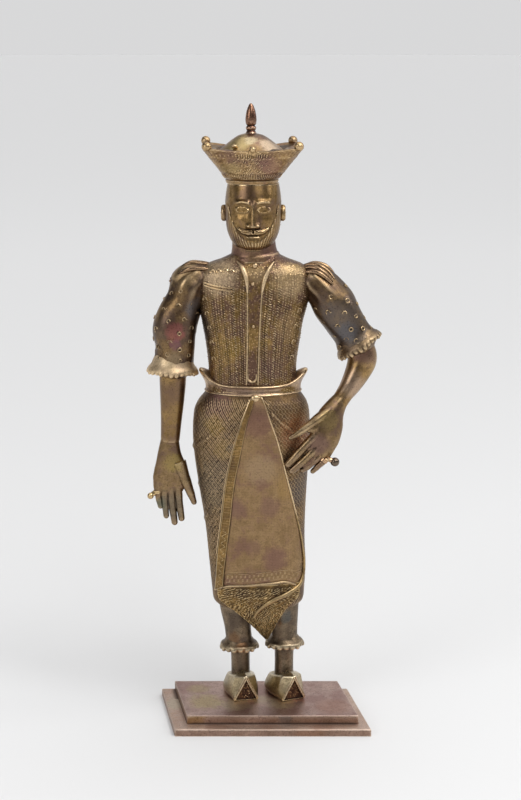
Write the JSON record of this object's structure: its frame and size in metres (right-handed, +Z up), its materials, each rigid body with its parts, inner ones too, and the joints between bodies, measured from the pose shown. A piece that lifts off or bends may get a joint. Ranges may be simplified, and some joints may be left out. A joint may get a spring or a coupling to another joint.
{
  "type": "chieftain figure",
  "caption": "Standing cast brass chieftain in a four-cornered hat, puff-sleeved jacket and wrapped skirt, hand on hip, on a stepped plinth.",
  "frame": {"origin": "middle of the plinth's flat underside", "axes": "+Z up, +X to the figure's left side, -Y the way the figure faces"},
  "size_m": [0.1504, 0.0736, 0.3995],
  "materials": {
    "plinth_brass": "satin, brown and mauve patina",
    "figure_brass": "satin, olive gold with brown patina in the hollows",
    "hat_brass": "satin, olive gold, lightly rubbed",
    "finial_brass": "polished, dark red brown"
  },
  "bodies": {
    "root": {"plinth": "plinth_brass", "figure": "figure_brass", "hat": "hat_brass", "hat_finial": "finial_brass"}
  },
  "joints": []
}
